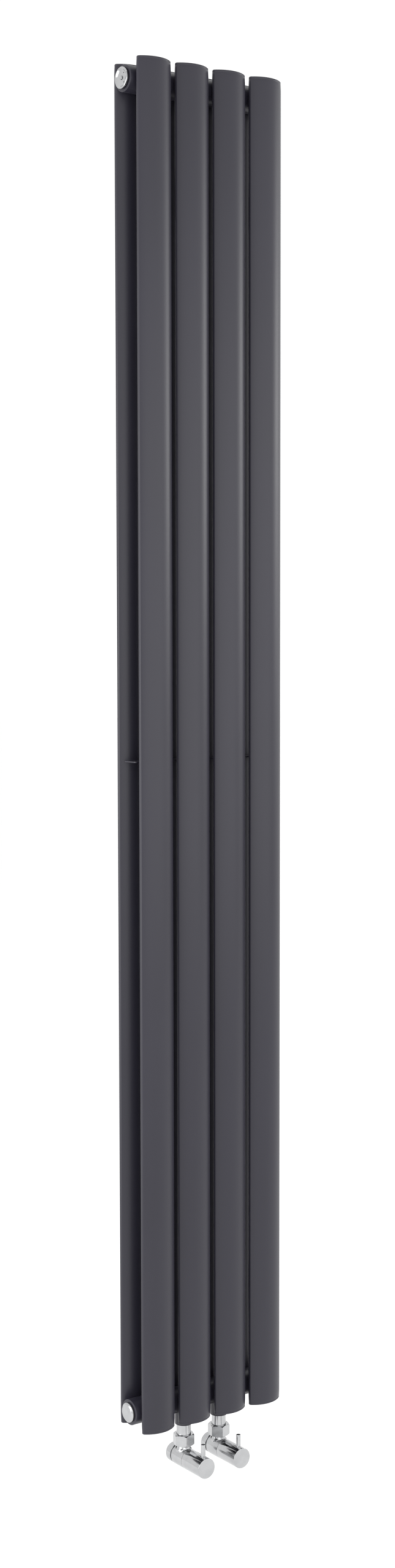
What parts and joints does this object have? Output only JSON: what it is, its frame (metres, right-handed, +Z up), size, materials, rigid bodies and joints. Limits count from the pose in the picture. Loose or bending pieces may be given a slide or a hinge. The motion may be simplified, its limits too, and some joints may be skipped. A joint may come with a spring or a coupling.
{
  "type": "vertical column radiator with valves",
  "caption": "Tall vertical radiator of oval steel tubes in two rows, hung on wall brackets, with a bleed vent and two chrome corner valves with lever pins underneath.",
  "frame": {"origin": "centre of the four wall fixing holes, on the wall plane at the back of the bracket plates", "axes": "+Z up along the columns, -Y out into the room, +X to the right seen from the room"},
  "size_m": [0.2448, 0.118, 1.8516],
  "materials": {
    "painted_steel": "satin anthracite powder coat",
    "painted_bracket": "satin powder coat",
    "chrome": "polished chrome plate on brass",
    "brass": "machined",
    "black_rubber": "matt",
    "white_ptfe": "matt",
    "liner_plastic": "matt",
    "zinc_steel": "zinc plated",
    "bare_steel": "bare"
  },
  "bodies": {
    "panel": {"front_column_1": "painted_steel", "front_column_2": "painted_steel", "front_column_3": "painted_steel", "front_column_4": "painted_steel", "rear_column_1": "painted_steel", "rear_column_2": "painted_steel", "rear_column_3": "painted_steel", "rear_column_4": "painted_steel", "top_caps": "painted_steel", "top_header": "painted_steel", "top_header_bushes": "painted_steel", "bottom_caps": "painted_steel", "bottom_header": "painted_steel", "bottom_header_bushes": "painted_steel", "valve_bosses": "painted_steel", "flow_baffle": "bare_steel", "mid_spacer": "painted_steel", "vent_plug": "chrome", "vent_o_ring": "black_rubber", "bottom_left_plug": "chrome", "bottom_left_o_ring": "black_rubber", "bottom_right_plug": "chrome", "bottom_right_o_ring": "black_rubber", "top_right_plug": "chrome", "top_right_o_ring": "black_rubber", "hanger_lugs": "painted_steel", "wall_brackets": "painted_bracket", "bracket_liners": "liner_plastic", "lock_screws": "zinc_steel", "left_valve_body": "chrome", "left_compression_nut": "chrome", "left_olive": "brass", "left_bonnet": "brass", "left_stem_o_ring": "black_rubber", "left_union_nut": "chrome", "left_tail_washer": "white_ptfe", "left_tail": "chrome", "left_tail_seal": "black_rubber", "right_valve_body": "chrome", "right_compression_nut": "chrome", "right_olive": "brass", "right_bonnet": "brass", "right_stem_o_ring": "black_rubber", "right_union_nut": "chrome", "right_tail_washer": "white_ptfe", "right_tail": "chrome", "right_tail_seal": "black_rubber"},
    "vent_screw_body": {"vent_screw": "chrome"},
    "left_handle": {"left_head": "chrome", "left_lever_pin": "chrome", "left_spindle": "brass", "left_rotor_o_rings": "black_rubber"},
    "right_handle": {"right_head": "chrome", "right_lever_pin": "chrome", "right_spindle": "brass", "right_rotor_o_rings": "black_rubber"}
  },
  "joints": [
    {"name": "left_valve_turn", "type": "hinge", "parent": "panel", "child": "left_handle", "pos_m": [-0.0295, -0.065, -0.948], "axis": [0, 1, 0], "range_deg": [0, 90]},
    {"name": "right_valve_turn", "type": "hinge", "parent": "panel", "child": "right_handle", "pos_m": [0.0295, -0.065, -0.948], "axis": [0, 1, 0], "range_deg": [0, 90]},
    {"name": "vent_screw_turn", "type": "hinge", "parent": "panel", "child": "vent_screw_body", "pos_m": [-0.118, -0.065, 0.8665], "axis": [-1, 0, 0], "range_deg": [0, 360]}
  ]
}
